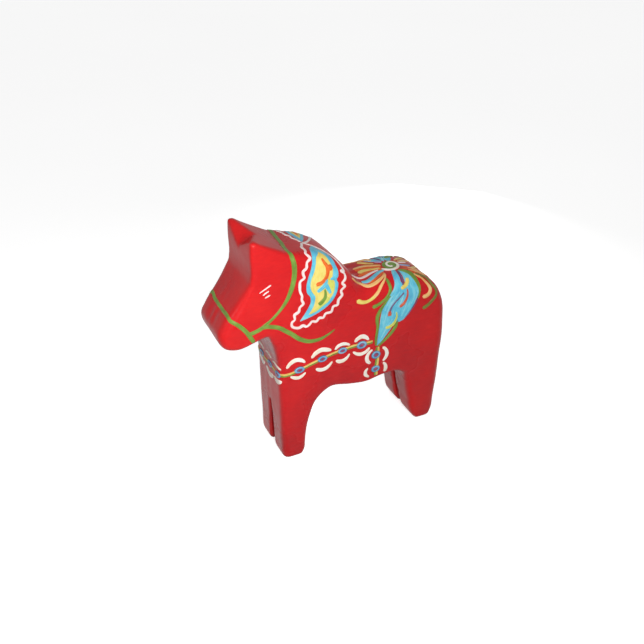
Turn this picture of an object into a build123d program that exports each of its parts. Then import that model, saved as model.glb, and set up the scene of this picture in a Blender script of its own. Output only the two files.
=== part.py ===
from build123d import *
from math import sqrt
import os

# Dala horse: a solid pine block, sawn to a side profile and whittled by knife,
# with brush-painted decoration lying on it as thin films.
# Millimetres. +X towards the tail, -X towards the nose, -Y is the horse's left side,
# +Z up. The origin is on the ground under the middle of the horse.

# ---- driving dimensions ----
THICKNESS = 32.6      # thickness of the plank that the blank is sawn from
HALF = THICKNESS / 2
EAR_HEIGHT = 130.5    # ear tips above the ground
BACK_HEIGHT = 93.5    # back above the ground
FRONT = -34.0         # front face of the forelegs
FRONT_SLOT_TOP = 30.5
FRONT_SLOT_WIDE = 6.0
FRONT_SLOT_END = -8   # past the back of the forelegs
HIND_SLOT_TOP = 32.0
HIND_SLOT_WIDE = 6.0
HIND_SLOT_FROM = 34   # ahead of the hind legs
HIND_SLOT_END = 66    # past the tail
SLOT_NARROW = 2.2     # width at the blind end of both leg slots
LONG = -0.4           # the feet are whittled this far past the ground, then cut level

# ---- side profile ----
# Stretches of the outline, clockwise seen from the horse's left side. Each knot is
# (x, z, r) where r is the knife-rounding radius of the long edge at that place.
# The two directions are the tangents at the ends of a curved stretch.
EAR = (-44.8, 130.3, 1.2)
POLL = (-25.8, 120.9, 3.0)
WITHERS = (15.0, 93.1, 7)
TAIL_HEAD = (60.8, 75.2, 4.5)
HOCK = (58.7, 10, 4)
GROIN = (38.6, 32, 3)
ELBOW = (-20.7, 8, 2.2)
THROAT = (-38.4, 78.7, 2)
NOSE_TIP = (-63.2, 83.6, 4.4)
STOP = (-46.4, 108.6, 1.6)

STRETCHES = [
    ([EAR, (-42.8, EAR_HEIGHT, 1.2), (-39.0, 128.3, 1.6), (-33.8, 125.4, 2.4), POLL], (1, 0.4), (1, -0.62)),
    ([POLL, (-13.5, 118.2, 6), (-3.3, 113.1, 6.5), (6.7, 102.7, 6.5), WITHERS], (1, -0.15), (1, -0.16)),
    ([WITHERS, (28.5, BACK_HEIGHT, 8), (41, 92.9, 9), (50.6, 89.1, 8), (57.0, 83.1, 5.5), TAIL_HEAD], (1, 0.02),
     (0.35, -1)),
    ([TAIL_HEAD, (62.6, 60, 5), (61.4, 38, 4.5), HOCK], (0.35, -1), (-0.1, -1)),
    ([HOCK, (57.1, 3.0, 3), (53.8, LONG, 2)], (-0.1, -1), (-1, 0)),
    ([(53.8, LONG, 2), (48.0, LONG, 2)], None, None),
    ([(48.0, LONG, 2), (45.2, 2.2, 2.5), (42, 14, 3), GROIN], (-1, 0), (-0.3, 1)),
    ([GROIN, (34.8, 36.0, 2), (27, 36.8, 2), (14.5, 35.2, 2), (4, 36.8, 2), (-5.5, 38.4, 2.2), (-13.6, 33, 2.2),
      (-18, 23, 2.2), ELBOW], (-0.3, 1), (-0.08, -1)),
    ([ELBOW, (-21.5, 2.2, 2), (-24.2, LONG, 2)], (-0.08, -1), (-1, 0)),
    ([(-24.2, LONG, 2), (-30.8, LONG, 2)], None, None),
    ([(-30.8, LONG, 2), (-33.3, 0.9, 2.4), (FRONT, 4, 3)], (-1, 0), (0, 1)),
    ([(FRONT, 4, 3), (FRONT, 57, 3.5)], None, None),
    ([(FRONT, 57, 3.5), (-35.4, 69, 3.2), THROAT], (0, 1), (-0.3, 1)),
    ([THROAT, (-45.5, 77.1, 2), (-53.8, 75.2, 2.3), (-60.6, 77.1, 3.2), NOSE_TIP], (-1, 0), (0, 1)),
    ([NOSE_TIP, (-60.8, 89.3, 5), (-53.7, 98.4, 4), STOP], (0, 1), (0.56, 0.83)),
    ([STOP, (-45.5, 112.5, 1.2), (-45.3, 122, 1.2), EAR], (0.56, 0.83), (0.08, 1)),
]

# Section planes across the thickness, as fractions of the half thickness; they crowd
# towards the sides because that is where the edges round off.
SECTION_STEPS = [0, 0.38, 0.52, 0.63, 0.72, 0.79, 0.85, 0.9, 0.94, 0.97, 0.99, 1.0]


def knot_directions(stretch):
    """Direction of travel along the outline at each knot of one stretch."""
    knots, start, end = stretch
    if start is None:
        along = (Vector(knots[1][0], knots[1][1]) - Vector(knots[0][0], knots[0][1])).normalized()
        return [along, along]
    directions = [Vector(*start).normalized()]
    for before, here, after in zip(knots, knots[1:], knots[2:]):
        coming = Vector(here[0] - before[0], here[1] - before[1])
        going = Vector(after[0] - here[0], after[1] - here[1])
        slope = coming / coming.length**2 + going / going.length**2
        directions.append(slope.normalized())
    directions.append(Vector(*end).normalized())
    return directions


DIRECTIONS = [knot_directions(stretch) for stretch in STRETCHES]


def rounding(radius, y, grow):
    """How far the outline draws in at distance y from the middle plane."""
    reach = abs(y) - (HALF - radius)
    outer = radius + grow
    if reach <= 0:
        return -grow
    return radius - sqrt(max(outer * outer - reach * reach, 0))


def profile_section(y, grow):
    """The side outline at plane y, drawn in where the edges are rounded."""
    edges = []
    for index, (knots, start, end) in enumerate(STRETCHES):
        before = DIRECTIONS[index - 1][-1]
        after = DIRECTIONS[(index + 1) % len(STRETCHES)][0]
        row = []
        for place, (x, z, radius) in enumerate(knots):
            here = DIRECTIONS[index][place]
            first = before if place == 0 else here
            second = after if place == len(knots) - 1 else here
            inward = Vector(first.Y, -first.X)
            bisector = (inward + Vector(second.Y, -second.X)).normalized()
            shift = rounding(radius, y, grow) / bisector.dot(inward)
            row.append((x + bisector.X * shift, z + bisector.Y * shift))
        if start is None:
            edges.append(Line(row[0], row[1]))
        else:
            edges.append(Spline(*row, tangents=DIRECTIONS[index]))
    plane = Plane(origin=(0, y, 0), x_dir=(1, 0, 0), z_dir=(0, -1, 0))
    return plane * Face(Wire(edges))


def rounded_blank(grow=0.0):
    """The sawn blank with its edges rounded; grow gives the same skin, that much larger."""
    half = HALF + grow
    outward = [step * half for step in SECTION_STEPS]
    planes = [-y for y in reversed(outward)] + outward[1:]
    return loft([profile_section(y, grow) for y in planes])


def leg_slot(x_from, x_to, top, wide):
    """Saw cut between a pair of legs: narrow and round at its blind end, wider at the feet."""
    narrow = SLOT_NARROW / 2
    foot = wide / 2
    blind = top - narrow
    outline = Wire([
        Line((-foot, -1), (-narrow, blind)),
        ThreePointArc((-narrow, blind), (0, top), (narrow, blind)),
        Line((narrow, blind), (foot, -1)),
        Line((foot, -1), (-foot, -1)),
    ])
    face = Plane(origin=(x_from, 0, 0), x_dir=(0, 1, 0), z_dir=(1, 0, 0)) * Face(outline)
    return extrude(face, amount=x_to - x_from, dir=(1, 0, 0))


def ear_notch():
    """V cut between the ears: deepest at the forehead, running out on the poll."""
    deepest = Vector(-45.3, 0, 122.6)
    run_out = Vector(8, 0, 4.3)
    ear_side = Vector(0.7, 14.8, 8)
    other_side = Vector(0.7, -14.8, 8)
    start = deepest - run_out
    corners = [start, start + ear_side * 1.4, start + other_side * 1.4]
    wedge = Face(Wire.make_polygon(corners, close=True))
    return extrude(wedge, amount=run_out.length * 4, dir=run_out.normalized())


def carved_body(blank):
    front_slot = leg_slot(FRONT - SLOT_NARROW, FRONT_SLOT_END, FRONT_SLOT_TOP, FRONT_SLOT_WIDE)
    hind_slot = leg_slot(HIND_SLOT_FROM, HIND_SLOT_END, HIND_SLOT_TOP, HIND_SLOT_WIDE)
    below_ground = Box(2 * EAR_HEIGHT, 2 * THICKNESS, HALF, align=(Align.CENTER, Align.CENTER, Align.MAX))
    return blank - front_slot - hind_slot - ear_notch() - below_ground


# ---- painted decoration ----
# A stroke is a list of (u, v, width) along the middle of the brush mark, in the view it is
# painted from: side view (x, z), from above (x, y), or from the front (y, z).

def brush(stroke):
    """Flat outline of one brush mark with round ends."""
    count = len(stroke)
    left = []
    right = []
    for place, (u, v, width) in enumerate(stroke):
        behind = stroke[max(place - 1, 0)]
        ahead = stroke[min(place + 1, count - 1)]
        along = Vector(ahead[0] - behind[0], ahead[1] - behind[1]).normalized()
        across = Vector(-along.Y, along.X) * (width / 2)
        left.append(Vector(u, v) + across)
        right.append(Vector(u, v) - across)
    start = Vector(stroke[0][0], stroke[0][1])
    end = Vector(stroke[-1][0], stroke[-1][1])
    away_start = (start - Vector(stroke[1][0], stroke[1][1])).normalized() * (stroke[0][2] / 2)
    away_end = (end - Vector(stroke[-2][0], stroke[-2][1])).normalized() * (stroke[-1][2] / 2)
    edges = [
        Spline(*left) if count > 2 else Line(left[0], left[1]),
        ThreePointArc(left[-1], end + away_end, right[-1]),
        Spline(*reversed(right)) if count > 2 else Line(right[1], right[0]),
        ThreePointArc(right[0], start + away_start, left[0]),
    ]
    return Face(Wire(edges))


def leaf(one_edge, other_edge):
    """Flat outline between two curved edges that run from tip to tip."""
    return Face(Wire([Spline(*one_edge), Spline(*other_edge)]))


def bead(u, v, long, high):
    return Pos(u, v) * Ellipse(long / 2, high / 2).face()


def from_left(face):
    """Prism through a flat outline (x, z), on the left half of the horse."""
    plane = Plane(origin=(0, -HALF - 2, 0), x_dir=(1, 0, 0), z_dir=(0, -1, 0))
    return extrude(plane * face, amount=HALF + 1, dir=(0, 1, 0))


def from_above(face):
    """Prism through a flat outline (x, y), down to the shoulder of the back's rounding."""
    return extrude(Plane(origin=(0, 0, 86)) * face, amount=50, dir=(0, 0, 1))


def from_front(face, x_from, depth):
    """Prism through a flat outline (y, z), into the front by depth."""
    plane = Plane(origin=(x_from, 0, 0), x_dir=(0, 1, 0), z_dir=(1, 0, 0))
    return extrude(plane * face, amount=depth, dir=(1, 0, 0))


def joined(shapes):
    """One shape, or a group, out of several prisms."""
    whole = shapes[0]
    for shape in shapes[1:]:
        whole = whole + shape
    return whole


def mirrored(shape):
    return mirror(shape, about=Plane.XZ)


def wavy(path, swing, waves):
    """A stroke that wobbles from side to side along a smooth path."""
    line = Spline(*[(u, v) for u, v, width in path])
    steps = waves * 4
    marks = []
    for step in range(steps + 1):
        share = step / steps
        here = line.position_at(share)
        along = line.tangent_at(share)
        offset = swing * (0, 1, 0, -1)[step % 4]
        width = path[min(int(share * len(path)), len(path) - 1)][2]
        marks.append((here.X - along.Y * offset, here.Y + along.X * offset, width))
    return marks


NOSEBAND_SIDE = [(-57.6, 93.6, 2.0), (-54.5, 91.2, 2.1), (-51.8, 88.1, 2.2), (-49.3, 84.4, 2.2), (-46.6, 79.2, 2.2)]
NOSEBAND_FRONT = [(-14.6, 93.2, 2.0), (-12, 94, 2.0), (0, 94.2, 2.0), (12, 94, 2.0), (14.6, 93.2, 2.0)]
CHEEK_SIDE = [(-48.4, 83.8, 1.8), (-42, 85.4, 1.8), (-37, 88.6, 1.7), (-31, 94, 1.9), (-27, 100, 2.3),
              (-24.8, 107, 2.6), (-24, 113, 2.6), (-24.9, 120, 2.4)]
CHEEK_TOP = [(-24.9, -15, 2.4), (-25.2, -8, 2.3), (-24.8, 0, 2.3), (-25.2, 8, 2.3), (-24.9, 15, 2.4)]
REIN = [(-41.5, 85.4, 1.6), (-36.8, 84.8, 2.2), (-32.5, 82.8, 2.4), (-27.5, 78.3, 2.5), (-22.5, 73.6, 2.5),
        (-17.5, 70.9, 2.4), (-12.5, 70.5, 2.0), (-7.5, 71.9, 1.4), (-3.2, 74.1, 0.6)]
EYE_TICKS = [
    [(-42, 104.8, 0.7), (-36.2, 107.3, 1.1)],
    [(-40.2, 103.2, 0.7), (-37.4, 104.5, 1.0)],
    [(-39.2, 101.4, 0.7), (-36.9, 102.3, 1.0)],
]

MANE_BORDER = [(-15.4, 116.6, 1.4), (-18.2, 112, 1.5), (-20.2, 106.5, 1.6), (-21.4, 100, 1.6), (-20.7, 94, 1.6),
               (-23.2, 89, 1.6), (-26, 84.4, 1.8), (-24.6, 81, 1.8), (-19.5, 80.5, 1.6), (-12, 82, 1.5),
               (-5.4, 85.6, 1.6), (-0.6, 91, 1.5), (1.4, 96.5, 1.3), (2.2, 101.5, 1.2), (0.6, 105.8, 0.9)]
MANE_LEAF_FRONT = [(-14.0, 117.6), (-15.8, 110.5), (-18.2, 102), (-16.3, 95.5), (-17.6, 90.3), (-21.9, 83.8)]
MANE_LEAF_REAR = [(-21.9, 83.8), (-12, 86), (-5.2, 90), (-1.4, 97.5), (-1.2, 105), (-4.6, 111.2), (-14.0, 117.6)]
MANE_FILL_FRONT = [(-12, 115.6), (-14, 109), (-16.2, 101.5), (-14, 95.5), (-14.6, 91), (-17.3, 86.4)]
MANE_FILL_REAR = [(-17.3, 86.4), (-11, 88), (-5.5, 92.6), (-3, 98.5), (-3.9, 107.5), (-7.5, 112.6), (-12, 115.6)]
MANE_VEINS = [
    [(-10, 113.6, 1.0), (-8.2, 110.8, 1.4), (-8, 106, 1.5), (-9.6, 103.2, 1.7), (-12.8, 102.1, 2.1)],
    [(-5.9, 110.4, 1.6), (-4.9, 108.6, 1.6)],
]
MANE_FORK = [
    [(-7.6, 101.2, 1.5), (-10, 99.6, 1.7), (-12.8, 98.3, 1.9)],
    [(-4.6, 103.2, 1.5), (-6.4, 101.4, 1.4), (-7, 98.4, 1.2), (-5.7, 95.6, 0.9)],
]
MANE_STEM = [(-9.0, 97.4, 1.0), (-8.6, 94.8, 1.5), (-10, 92.2, 2.0), (-12, 90.6, 2.3)]

ROSETTE = (36.5, 0.4, 10.4, 10.0)
SPIRAL = [(33.2, -3.9, 1.2), (36.2, -4.3, 1.4), (38.8, -2.6, 1.5), (39.4, 0.6, 1.5), (37.8, 3.2, 1.4),
          (35.4, 2, 1.3), (35.2, -0.8, 1.2), (36.7, -1.6, 1.0)]
RAYS_TOP = {
    "saddle_rays_orange": [
        [(30.6, 2.2, 1.2), (26, 4.4, 1.5), (21, 5.2, 1.5), (16.8, 4.0, 1.0)],
        [(29.6, -5.0, 1.1), (26, -7.4, 1.4), (22.4, -9.4, 1.1)],
        [(41.4, 3.2, 1.0), (46, 6.0, 1.3), (50, 9.0, 1.0)],
        [(40.6, -5.4, 1.0), (45, -7.6, 1.3), (50, -10.4, 1.0)],
    ],
    "saddle_rays_yellow": [
        [(30, -0.6, 1.0), (26, 0.6, 1.5), (21.5, 0.8, 2.0), (17.2, -1.4, 2.4)],
        [(41.8, -3.8, 0.9), (46, -4.6, 1.2), (50, -3.6, 0.9)],
    ],
    "saddle_rays_white": [
        [(27, -1.7, 0.8), (23, -2.7, 1.1), (18, -5.0, 1.2), (14.6, -4.6, 1.1), (13.4, -3, 0.8)],
        [(42.2, 0.2, 0.8), (46, 1.4, 1.1), (50, 3, 0.8)],
    ],
    "saddle_rays_blue": [
        [(31, -2.2, 1.0), (27, -3.9, 1.4), (23, -6.4, 1.6), (19, -9.2, 1.6), (15.2, -9.6, 1.4)],
        [(31.6, 5.0, 1.6), (29.2, 8.0, 2.4), (28.4, 11.6, 2.0)],
        [(34.6, 6.2, 1.2), (34.2, 9.4, 1.8), (34.4, 12.2, 1.4)],
    ],
}
PEACH_STROKE_TOP = [(29.6, -6.6, 0.9), (24, -11, 1.3), (18, -13.2, 1.4), (13, -12.4, 1.0)]
YELLOW_STROKE_SIDE = [(23.8, 90.9, 1.2), (20.8, 88.2, 1.5), (17, 85.9, 1.6), (12.6, 85.6, 1.8), (9.2, 87.2, 2.3)]
GREEN_STROKE_SIDE = [(28.3, 90.4, 1.6), (27.4, 86.9, 1.6), (24, 83.7, 1.7), (18.4, 81.1, 2.4)]
REAR_PEACH_SIDE = [(50.3, 86.4, 1.2), (51.4, 83.6, 1.8), (50.2, 81.2, 2.2), (47.6, 80.1, 2.3)]
REAR_GREEN_SIDE = [(55.4, 80.6, 1.4), (53, 77, 1.8), (50.2, 74.5, 2.0), (47.4, 72.9, 2.2)]

SADDLE_LEAF_FRONT = [(31.6, 91.5), (29, 87.5), (24.8, 81.5), (22.3, 73.5), (21.6, 66), (21, 57.6)]
SADDLE_LEAF_REAR = [(21, 57.6), (27.5, 63.8), (32.5, 69), (38.5, 72), (43.2, 78.8), (44.6, 85), (41.4, 90.2), (36, 91.2),
                    (31.6, 91.5)]
SADDLE_LEAF_EDGES = [
    [(23.6, 81.4, 0.8), (21.6, 77.5, 1.8), (20.7, 73, 2.0), (20.9, 68.6, 1.2), (20.2, 61, 1.2)],
    [(32.4, 67.2, 1.4), (30.6, 63.9, 1.6), (26.8, 60.2, 1.4), (23, 57.2, 1.0)],
]
SADDLE_TEARDROPS = [
    [(34.6, 84.4, 0.6), (30.4, 80.6, 0.7), (28.3, 77.2, 1.2), (27.8, 73.8, 2.6)],
    [(37.5, 85.6, 0.8), (37.4, 81.6, 1.4), (35.6, 78.8, 1.8), (33.4, 77.4, 1.8)],
]
SADDLE_ACCENTS = [
    [(34.2, 87.7, 1.8), (36.4, 88.4, 2.2), (38.4, 89.9, 2.0)],
    [(25.8, 66.8, 1.8), (28.4, 67.1, 1.8), (30.4, 68.9, 1.4), (31.4, 72, 0.9)],
]

BAND_SIDE = [(-34.0, 54.2, 1.4), (-28, 54.4, 1.6), (-20, 56.3, 1.6), (-11, 58.4, 1.6), (-1, 60.2, 1.6), (8, 60.9, 1.6),
             (18.4, 60.5, 1.2)]
BAND_FRONT = [(-14.6, 54.4, 1.4), (0, 54.2, 1.4), (14.6, 54.4, 1.4)]
BAND_BEADS = [(-23.5, 55.5, 5.2, 3.9), (-10.5, 58.3, 5.0, 3.9), (0.7, 60.0, 4.8, 3.7), (11.8, 60.2, 5.6, 4.6)]
BAND_FRONT_BEADS = [(-11.6, 54.4, 5.0, 3.8), (0, 54.3, 5.0, 3.8), (11.6, 54.4, 5.0, 3.8)]
BAND_PETALS = [
    [(-30.2, 58.8, 1.6), (-27.4, 61.1, 2.1), (-23.8, 61.4, 2.0), (-20.6, 59.3, 0.9)],
    [(-16.2, 60.8, 1.5), (-13.6, 63, 2.2), (-10, 63.5, 2.4), (-6.2, 62.4, 1.3)],
    [(-3.4, 62, 1.2), (-1.4, 63.6, 1.8), (1.2, 63.9, 2.0), (4.4, 62.3, 1.0)],
    [(7.8, 63.1, 1.6), (10.2, 64.8, 2.2), (13, 64.8, 2.2), (15.6, 62.4, 1.0)],
    [(-28.3, 52.8, 0.9), (-25.8, 51.3, 1.8), (-23, 50.9, 1.8), (-20.2, 52.6, 0.8)],
    [(-14, 53.4, 1.7), (-11, 51.8, 2.0), (-8, 52.2, 1.9), (-5.1, 54.8, 0.8)],
    [(-2.9, 55.1, 1.5), (-0.4, 53.8, 2.2), (2.2, 54.4, 2.0), (4.7, 56.8, 0.8)],
    [(6.9, 57.3, 0.9), (9.6, 55.1, 1.9), (13, 54.7, 2.0), (16.3, 56.9, 1.2)],
]
FRONT_PETALS = [
    [(-14, 57.2, 1.0), (-11.6, 58.3, 1.6), (-8.8, 57.6, 0.9)],
    [(-3, 57.7, 0.9), (0, 58.9, 1.6), (3, 57.7, 0.9)],
    [(-14.2, 50.8, 1.0), (-11.6, 49.4, 1.8), (-8.4, 50.6, 1.2)],
    [(-4.4, 50.6, 1.2), (0, 48.4, 2.0), (4.4, 50.6, 1.2)],
    [(8.8, 57.6, 0.9), (11.6, 58.3, 1.6), (14, 57.2, 1.0)],
    [(8.4, 50.6, 1.2), (11.6, 49.4, 1.8), (14.2, 50.8, 1.0)],
]
GIRTH = [(21, 56.6, 1.6), (20.9, 48, 1.8), (20.3, 39.5, 1.6)]
GIRTH_BEADS = [(20.2, 51.7, 5.0, 5.0), (20.0, 42.8, 4.8, 4.3)]
GIRTH_PETALS = [
    [(17.6, 55, 1.0), (15.5, 52.4, 1.9), (15.2, 49.6, 2.0), (16.7, 47.2, 1.4)],
    [(24.6, 54.8, 1.5), (26.6, 52, 2.0), (26.3, 49, 1.9), (24.6, 46.8, 1.1)],
    [(15.4, 44.1, 0.9), (14, 42, 1.9), (14.5, 39.9, 1.7), (15.8, 39.0, 0.9)],
    [(25, 44.8, 1.1), (26.4, 42, 2.0), (25.9, 40.2, 1.6)],
]
BEAD_CORE = 0.42      # size of a bead's dark centre as a share of the bead
PAINT = 0.3           # thickness of every paint film


def left_prisms(strokes):
    return joined([from_left(brush(stroke)) for stroke in strokes])


def bead_prisms(beads, share=1.0):
    return joined([from_left(bead(u, v, long * share, high * share)) for u, v, long, high in beads])


def paint_films(blank):
    """Every paint film as {node name: solid}, cut from the skin just outside the blank."""
    skin = rounded_blank(PAINT)
    films = {}

    def lay(name, prism):
        films[name] = (skin & prism) - blank

    def lay_both(name, prism):
        films[name + "_left"] = (skin & prism) - blank
        films[name + "_right"] = mirrored(films[name + "_left"])

    # bridle
    nose_side = left_prisms([NOSEBAND_SIDE])
    noseband = from_front(brush(NOSEBAND_FRONT), -70, 18) + nose_side + mirrored(nose_side)
    lay("noseband", noseband)
    cheek_side = left_prisms([CHEEK_SIDE])
    cheek = from_above(brush(CHEEK_TOP)) + cheek_side + mirrored(cheek_side)
    lay("cheek_strap", cheek - noseband)
    lay_both("rein", left_prisms([REIN]) - cheek)
    lay_both("eye_ticks", left_prisms(EYE_TICKS))

    # mane panel
    veins = left_prisms(MANE_VEINS)
    fork = left_prisms(MANE_FORK)
    stem = left_prisms([MANE_STEM])
    fill = from_left(leaf(MANE_FILL_FRONT, MANE_FILL_REAR))
    mane_leaf = from_left(leaf(MANE_LEAF_FRONT, MANE_LEAF_REAR))
    lay_both("mane_border", left_prisms([wavy(MANE_BORDER, 0.55, 20)]))
    lay_both("mane_leaf", mane_leaf - fill - veins)
    lay_both("mane_leaf_fill", fill - veins - fork - stem)
    lay_both("mane_leaf_veins", veins)
    lay_both("mane_leaf_fork", fork - veins)
    lay_both("mane_leaf_stem", stem)

    # saddle rosette and its rays
    disc = from_above(bead(*ROSETTE))
    spiral = from_above(brush(SPIRAL))
    lay("rosette_disc", disc - spiral)
    lay("rosette_spiral", spiral)
    for name, strokes in RAYS_TOP.items():
        lay(name, joined([from_above(brush(stroke)) for stroke in strokes]) - disc)
    peach_top = from_above(brush(PEACH_STROKE_TOP))
    lay("saddle_rays_peach", peach_top)
    lay_both("flank_stroke_yellow", left_prisms([YELLOW_STROKE_SIDE]))
    lay_both("flank_stroke_green", left_prisms([GREEN_STROKE_SIDE]))
    lay_both("rump_stroke_peach", left_prisms([REAR_PEACH_SIDE]))
    lay_both("rump_stroke_green", left_prisms([REAR_GREEN_SIDE]))

    # saddle leaf on each flank
    drops = left_prisms(SADDLE_TEARDROPS)
    accents = left_prisms(SADDLE_ACCENTS)
    saddle_leaf = from_left(leaf(SADDLE_LEAF_FRONT, SADDLE_LEAF_REAR))
    green_stroke = left_prisms([GREEN_STROKE_SIDE])
    lay_both("saddle_leaf", saddle_leaf - drops - accents - green_stroke)
    lay_both("saddle_leaf_edges", left_prisms(SADDLE_LEAF_EDGES) - saddle_leaf - green_stroke)
    lay_both("saddle_leaf_teardrops", drops)
    lay_both("saddle_leaf_accents", accents)

    # breast band and girth
    beads = bead_prisms(BAND_BEADS)
    cores = bead_prisms(BAND_BEADS, BEAD_CORE)
    front_beads = joined([from_front(bead(*place), -40, 12) for place in BAND_FRONT_BEADS])
    front_cores = joined([from_front(bead(u, v, long * BEAD_CORE, high * BEAD_CORE), -40, 12)
                          for u, v, long, high in BAND_FRONT_BEADS])
    all_beads = beads + mirrored(beads) + front_beads
    all_cores = cores + mirrored(cores) + front_cores
    band_side = left_prisms([BAND_SIDE])
    band = band_side + mirrored(band_side) + from_front(brush(BAND_FRONT), -40, 12)
    petals = left_prisms(BAND_PETALS)
    front_petals = joined([from_front(brush(stroke), -40, 12) for stroke in FRONT_PETALS])
    lay("breast_band_stem", band - all_beads)
    lay("breast_band_beads", all_beads - all_cores)
    lay("breast_band_bead_cores", all_cores)
    lay("breast_band_petals", petals + mirrored(petals) + front_petals)
    girth_beads = bead_prisms(GIRTH_BEADS)
    girth_cores = bead_prisms(GIRTH_BEADS, BEAD_CORE)
    lay_both("girth_stem", left_prisms([GIRTH]) - girth_beads)
    lay_both("girth_beads", girth_beads - girth_cores)
    lay_both("girth_bead_cores", girth_cores)
    lay_both("girth_petals", left_prisms(GIRTH_PETALS))
    return films


def main():
    os.makedirs("parts", exist_ok=True)
    blank = rounded_blank()
    nodes = {"carved_body": carved_body(blank)}
    nodes.update(paint_films(blank))
    for name, shape in nodes.items():
        export_step(shape, f"parts/{name}.step")


if __name__ == "__main__":
    main()
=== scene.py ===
import math

import bmesh
import bpy
from mathutils import Matrix, Vector, noise
from mathutils.bvhtree import BVHTree


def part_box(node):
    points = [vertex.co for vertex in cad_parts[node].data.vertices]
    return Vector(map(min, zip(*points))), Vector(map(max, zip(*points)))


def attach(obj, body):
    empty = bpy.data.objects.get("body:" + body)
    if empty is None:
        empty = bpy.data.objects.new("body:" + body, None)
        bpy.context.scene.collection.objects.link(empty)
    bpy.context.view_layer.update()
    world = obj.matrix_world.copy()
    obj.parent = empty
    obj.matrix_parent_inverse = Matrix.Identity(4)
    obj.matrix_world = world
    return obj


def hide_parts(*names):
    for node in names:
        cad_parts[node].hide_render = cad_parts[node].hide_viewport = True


# A carved and painted wooden horse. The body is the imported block, whittled a little more
# softly, under red lacquer. Every brush mark is its own low film of oil paint, laid along
# a line of points on the body: (x, z) on the side, (x, y) from above, (y, z) on the
# front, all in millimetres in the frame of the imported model.

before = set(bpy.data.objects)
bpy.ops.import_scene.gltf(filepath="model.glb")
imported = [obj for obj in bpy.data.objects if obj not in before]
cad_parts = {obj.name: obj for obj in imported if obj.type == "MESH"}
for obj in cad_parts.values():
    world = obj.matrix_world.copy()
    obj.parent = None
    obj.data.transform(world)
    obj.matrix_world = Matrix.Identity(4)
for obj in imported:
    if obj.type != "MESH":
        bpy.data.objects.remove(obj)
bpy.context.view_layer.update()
MM = 0.001


def placed(name, data):
    """A new object in the scene."""
    item = bpy.data.objects.new(name, data)
    bpy.context.scene.collection.objects.link(item)
    return item


# ---- materials ----

def new_material(name):
    material = bpy.data.materials.new(name)
    material.use_nodes = True
    tree = material.node_tree
    return material, tree, tree.nodes["Principled BSDF"]


def noise_node(tree, vector, scale, detail=3.0, roughness=0.5):
    texture = tree.nodes.new("ShaderNodeTexNoise")
    texture.inputs["Scale"].default_value = scale
    texture.inputs["Detail"].default_value = detail
    texture.inputs["Roughness"].default_value = roughness
    tree.links.new(vector, texture.inputs["Vector"])
    return texture.outputs["Fac"]


def stretched(tree, vector, scale):
    mapping = tree.nodes.new("ShaderNodeMapping")
    mapping.inputs["Scale"].default_value = scale
    tree.links.new(vector, mapping.inputs["Vector"])
    return mapping.outputs["Vector"]


def ramp_node(tree, value, stops):
    ramp = tree.nodes.new("ShaderNodeValToRGB")
    elements = ramp.color_ramp.elements
    while len(elements) < len(stops):
        elements.new(0.5)
    for element, (place, colour) in zip(elements, stops):
        element.position = place
        element.color = (*colour, 1)
    tree.links.new(value, ramp.inputs["Fac"])
    return ramp.outputs["Color"]


def span_node(tree, value, low, high, to_low, to_high):
    span = tree.nodes.new("ShaderNodeMapRange")
    span.inputs["From Min"].default_value = low
    span.inputs["From Max"].default_value = high
    span.inputs["To Min"].default_value = to_low
    span.inputs["To Max"].default_value = to_high
    tree.links.new(value, span.inputs["Value"])
    return span.outputs["Result"]


def mix_node(tree, share, first, second):
    mix = tree.nodes.new("ShaderNodeMix")
    mix.data_type = "RGBA"
    tree.links.new(share, mix.inputs["Factor"])
    for socket, colour in ((mix.inputs["A"], first), (mix.inputs["B"], second)):
        if isinstance(colour, tuple):
            socket.default_value = (*colour, 1)
        else:
            tree.links.new(colour, socket)
    return mix.outputs["Result"]


def math_node(tree, operation, first, second):
    node = tree.nodes.new("ShaderNodeMath")
    node.operation = operation
    for socket, value in ((node.inputs[0], first), (node.inputs[1], second)):
        if isinstance(value, (int, float)):
            socket.default_value = value
        else:
            tree.links.new(value, socket)
    return node.outputs["Value"]


def blend_node(tree, first, second, share):
    """first and second added up, with the given share of second."""
    part = math_node(tree, "MULTIPLY", first, 1 - share)
    other_part = math_node(tree, "MULTIPLY", second, share)
    return math_node(tree, "ADD", part, other_part)


def bump_node(tree, height, strength, distance, under=None):
    bump = tree.nodes.new("ShaderNodeBump")
    bump.inputs["Strength"].default_value = strength
    bump.inputs["Distance"].default_value = distance
    tree.links.new(height, bump.inputs["Height"])
    if under is not None:
        tree.links.new(under, bump.inputs["Normal"])
    return bump.outputs["Normal"]


VARNISH_IOR = 1.35


def varnish(tree, shader, colour, tone, roughness, normal):
    """Finishes a painted surface; its roughness runs between two values as tone does."""
    tree.links.new(colour, shader.inputs["Base Color"])
    tree.links.new(span_node(tree, tone, 0.3, 0.7, *roughness), shader.inputs["Roughness"])
    tree.links.new(normal, shader.inputs["Normal"])
    shader.inputs["IOR"].default_value = VARNISH_IOR


LACQUER_DEEP = (0.48, 0.005, 0.009)
LACQUER = (0.60, 0.008, 0.011)
LACQUER_BRIGHT = (0.70, 0.013, 0.013)
# the brighter red of sharp edges: partly wear, partly a painted highlight along the edges
LACQUER_WORN_AND_LIT = (0.74, 0.040, 0.030)
UNDER_RED = (0.30, 0.020, 0.012)

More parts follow.
